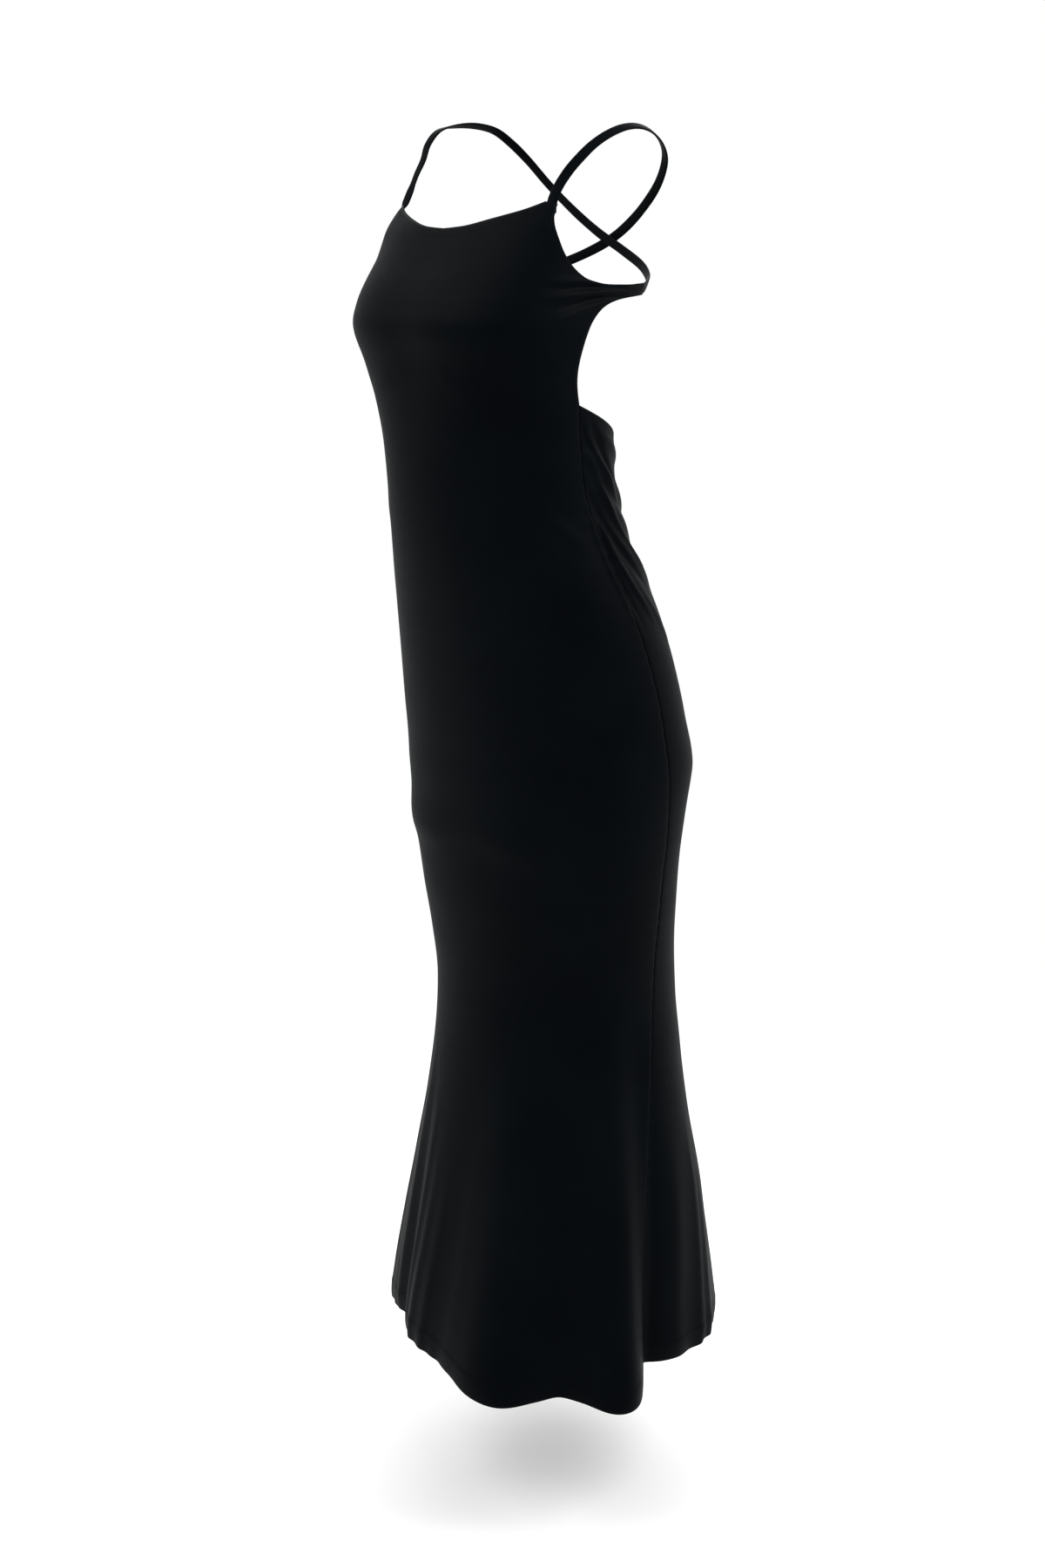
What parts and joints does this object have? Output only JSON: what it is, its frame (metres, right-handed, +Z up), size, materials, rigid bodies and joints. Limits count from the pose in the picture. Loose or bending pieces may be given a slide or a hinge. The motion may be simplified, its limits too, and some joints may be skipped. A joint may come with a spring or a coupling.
{
  "type": "maxi dress",
  "caption": "Backless maxi slip dress in its worn form, close to the knee and flared below, with a draped low back and narrow crossed straps.",
  "frame": {"origin": "midway between the two shoulder straps, at the height of the left one's top, where the wearer's shoulders hold the dress", "axes": "+Z up, -Y towards the front of the dress, +X towards the wearer's left"},
  "size_m": [0.4295, 0.367, 1.2723],
  "materials": {
    "jersey": "matt black stretch jersey with a soft sheen"
  },
  "bodies": {
    "root": {"front_panel": "jersey", "back_panel": "jersey", "strap_left": "jersey", "strap_right": "jersey"}
  },
  "joints": []
}
